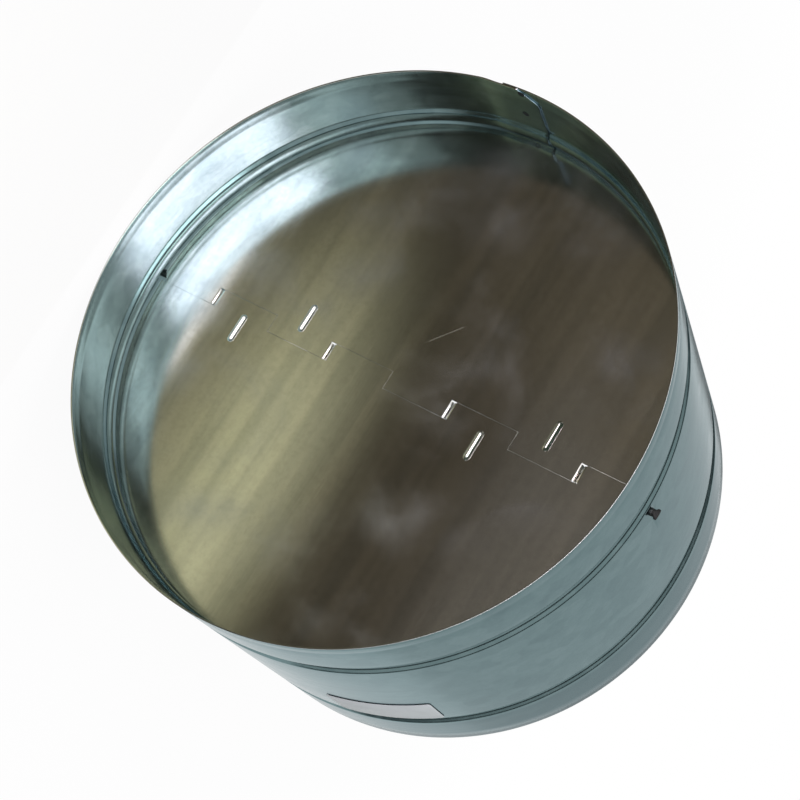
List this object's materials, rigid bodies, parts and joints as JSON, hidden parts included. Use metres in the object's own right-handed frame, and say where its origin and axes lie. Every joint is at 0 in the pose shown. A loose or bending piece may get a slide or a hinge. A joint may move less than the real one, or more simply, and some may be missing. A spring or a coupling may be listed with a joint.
{
  "type": "ventilation non-return valve",
  "caption": "Round duct non-return valve: rolled sheet casing, upright spindle and two half-round blades with interlocking tabs, shut by torsion springs.",
  "frame": {"origin": "centre of the inlet rim, where the duct axis crosses the end plane of the inlet spigot", "axes": "+Y along the duct axis in the direction of the air, +Z along the spindle, upwards, +X to the right seen from the inlet"},
  "size_m": [0.314, 0.196, 0.321],
  "materials": {
    "galvanised_sheet": "dull zinc with a faint mottled spangle",
    "spindle_steel": "drawn bright steel, dark where it is staked",
    "blade_aluminium": "bright mill finish with fine scratches",
    "spring_wire": "bright spring wire",
    "label_paper": "plain pale sticker, no print"
  },
  "bodies": {
    "housing": {"casing": "galvanised_sheet", "spindle": "spindle_steel", "spring_lower": "spring_wire", "spring_upper": "spring_wire", "label": "label_paper"},
    "left_leaf": {"blade_left": "blade_aluminium"},
    "right_leaf": {"blade_right": "blade_aluminium"}
  },
  "joints": [
    {"name": "left_leaf_swing", "type": "hinge", "parent": "housing", "child": "left_leaf", "pos_m": [0, 0.05471, 0], "axis": [0, 0, -1], "range_deg": [0, 85], "stiffness_Nm_per_rad": 0.03, "springref_deg": -34.38, "deforming": ["spring_lower", "spring_upper"]},
    {"name": "right_leaf_swing", "type": "hinge", "parent": "housing", "child": "right_leaf", "pos_m": [0, 0.05471, 0], "axis": [0, 0, 1], "range_deg": [0, 85], "stiffness_Nm_per_rad": 0.03, "springref_deg": -34.38, "deforming": ["spring_lower", "spring_upper"]}
  ]
}
